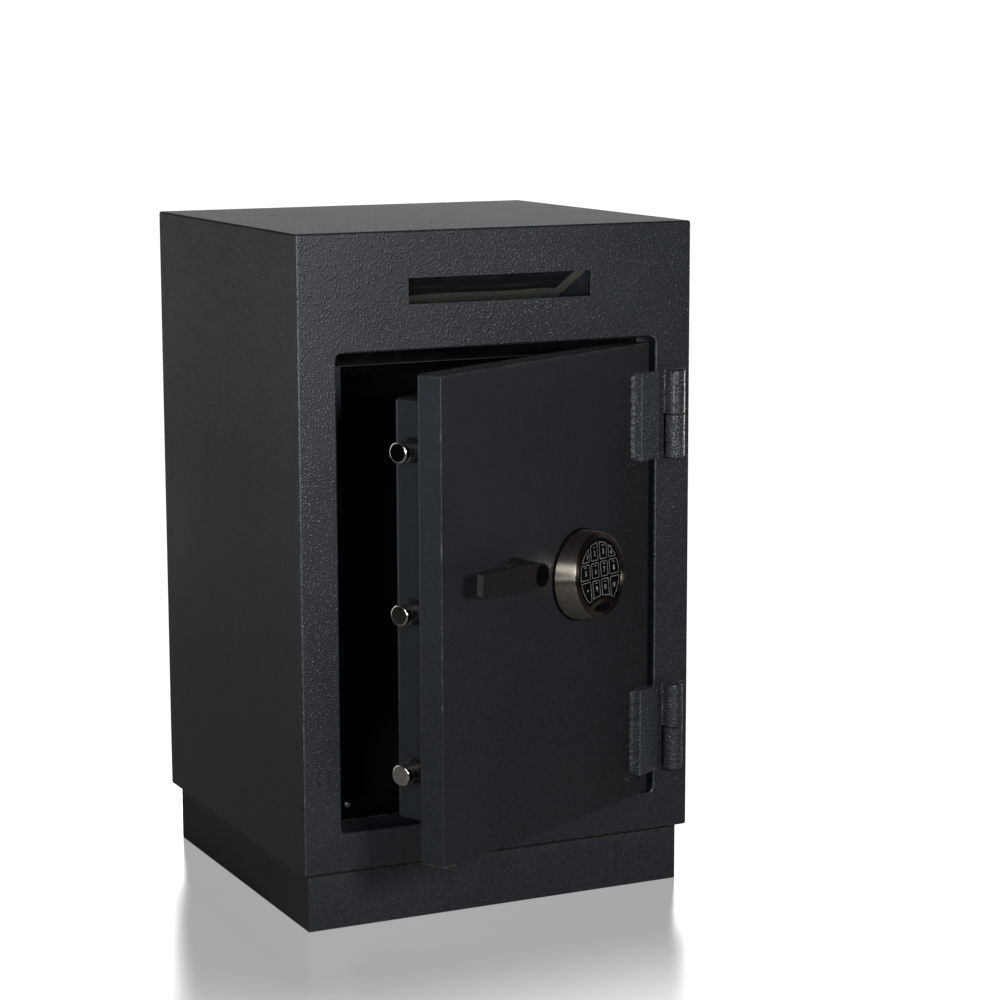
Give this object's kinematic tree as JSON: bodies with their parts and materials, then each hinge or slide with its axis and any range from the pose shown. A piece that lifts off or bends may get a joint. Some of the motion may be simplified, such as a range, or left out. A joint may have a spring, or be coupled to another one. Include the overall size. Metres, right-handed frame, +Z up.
{
  "type": "drop safe",
  "caption": "Free-standing steel drop safe on a plinth, with a deposit slot above a hinged door that has a round electronic keypad, lever handle and sliding bolts.",
  "frame": {"origin": "on the floor under the plinth, centre of the body's width and depth", "axes": "+Z up, front with door and slot faces -Y, hinges on the +X side; the door is stored 27.55 degrees open"},
  "size_m": [0.436, 0.5884, 0.701],
  "materials": {
    "paint": "hammertone",
    "door_paint": "fine texture",
    "dark_steel": "oiled",
    "bolt_chrome": "polished",
    "nickel": "brushed satin nickel",
    "lever_bronze": "dark bronze satin",
    "black_plastic": "satin",
    "gasket_rubber": "matt",
    "zinc": "zinc plated",
    "brass": "satin"
  },
  "bodies": {
    "body": {"front_plate": "paint", "side_plate_left": "paint", "side_plate_right": "paint", "top_plate": "paint", "bottom_plate": "paint", "back_plate": "paint", "jamb_left": "paint", "jamb_right": "paint", "jamb_top": "paint", "jamb_bottom": "paint", "jamb_screw": "zinc", "bolt_strike_bar": "dark_steel", "slot_deflector": "dark_steel", "fishing_baffle": "dark_steel", "chute_wall_left": "paint", "chute_wall_right": "paint", "plinth_frame": "paint", "plinth_base_plate": "paint", "frame_hinge_upper": "paint", "frame_hinge_lower": "paint", "hinge_pin_upper": "zinc", "hinge_pin_lower": "zinc", "hinge_washer_upper": "brass", "hinge_washer_lower": "brass"},
    "door": {"door_plate": "door_paint", "bolt_box": "door_paint", "bolt_bush_1": "dark_steel", "bolt_bush_2": "dark_steel", "bolt_bush_3": "dark_steel", "door_hinge_upper": "paint", "door_hinge_lower": "paint", "lock_case": "zinc", "keypad_gasket": "gasket_rubber", "keypad_housing": "nickel", "keypad_badge": "black_plastic", "keypad_membrane": "black_plastic"},
    "handle": {"handle_lever": "lever_bronze", "handle_cap": "black_plastic", "handle_spindle": "zinc", "handle_cam": "dark_steel"},
    "bolts": {"bolt_bar": "dark_steel", "bolt_1": "bolt_chrome", "bolt_2": "bolt_chrome", "bolt_3": "bolt_chrome"},
    "lock_bolt": {"lock_bolt": "brass"},
    "key_1_body": {"key_1": "black_plastic"},
    "key_2_body": {"key_2": "black_plastic"},
    "key_3_body": {"key_3": "black_plastic"},
    "key_4_body": {"key_4": "black_plastic"},
    "key_5_body": {"key_5": "black_plastic"},
    "key_6_body": {"key_6": "black_plastic"},
    "key_7_body": {"key_7": "black_plastic"},
    "key_8_body": {"key_8": "black_plastic"},
    "key_star_body": {"key_star": "black_plastic"},
    "key_9_body": {"key_9": "black_plastic"},
    "key_0_body": {"key_0": "black_plastic"},
    "key_hash_body": {"key_hash": "black_plastic"}
  },
  "joints": [
    {"name": "door_swing", "type": "hinge", "parent": "body", "child": "door", "pos_m": [0.194, -0.2122, 0.35], "axis": [0, 0, 1], "range_deg": [-27.55, 82.45]},
    {"name": "handle_turn", "type": "hinge", "parent": "door", "child": "handle", "pos_m": [-0.03328, -0.32828, 0.3762], "axis": [0.4625, -0.8866, 0], "range_deg": [0, 90]},
    {"name": "bolt_throw", "type": "slide", "parent": "door", "child": "bolts", "axis": [-0.8866, -0.4625, 0], "range_m": [0, 0.02]},
    {"name": "lock_bolt_slide", "type": "slide", "parent": "door", "child": "lock_bolt", "axis": [0, 0, 1], "range_m": [0, 0.008]},
    {"name": "key_1_press", "type": "slide", "parent": "door", "child": "key_1_body", "axis": [-0.4608, 0.8832, -0.0872], "range_m": [0, 0.0008], "stiffness_N_per_m": 800},
    {"name": "key_2_press", "type": "slide", "parent": "door", "child": "key_2_body", "axis": [-0.4608, 0.8832, -0.0872], "range_m": [0, 0.0008], "stiffness_N_per_m": 800},
    {"name": "key_3_press", "type": "slide", "parent": "door", "child": "key_3_body", "axis": [-0.4608, 0.8832, -0.0872], "range_m": [0, 0.0008], "stiffness_N_per_m": 800},
    {"name": "key_4_press", "type": "slide", "parent": "door", "child": "key_4_body", "axis": [-0.4608, 0.8832, -0.0872], "range_m": [0, 0.0008], "stiffness_N_per_m": 800},
    {"name": "key_5_press", "type": "slide", "parent": "door", "child": "key_5_body", "axis": [-0.4608, 0.8832, -0.0872], "range_m": [0, 0.0008], "stiffness_N_per_m": 800},
    {"name": "key_6_press", "type": "slide", "parent": "door", "child": "key_6_body", "axis": [-0.4608, 0.8832, -0.0872], "range_m": [0, 0.0008], "stiffness_N_per_m": 800},
    {"name": "key_7_press", "type": "slide", "parent": "door", "child": "key_7_body", "axis": [-0.4608, 0.8832, -0.0872], "range_m": [0, 0.0008], "stiffness_N_per_m": 800},
    {"name": "key_8_press", "type": "slide", "parent": "door", "child": "key_8_body", "axis": [-0.4608, 0.8832, -0.0872], "range_m": [0, 0.0008], "stiffness_N_per_m": 800},
    {"name": "key_star_press", "type": "slide", "parent": "door", "child": "key_star_body", "axis": [-0.4608, 0.8832, -0.0872], "range_m": [0, 0.0008], "stiffness_N_per_m": 800},
    {"name": "key_9_press", "type": "slide", "parent": "door", "child": "key_9_body", "axis": [-0.4608, 0.8832, -0.0872], "range_m": [0, 0.0008], "stiffness_N_per_m": 800},
    {"name": "key_0_press", "type": "slide", "parent": "door", "child": "key_0_body", "axis": [-0.4608, 0.8832, -0.0872], "range_m": [0, 0.0008], "stiffness_N_per_m": 800},
    {"name": "key_hash_press", "type": "slide", "parent": "door", "child": "key_hash_body", "axis": [-0.4608, 0.8832, -0.0872], "range_m": [0, 0.0008], "stiffness_N_per_m": 800}
  ],
  "couplings": [
    {"joint": "bolt_throw", "follows": "handle_turn", "m_per_rad": 0.012732}
  ]
}
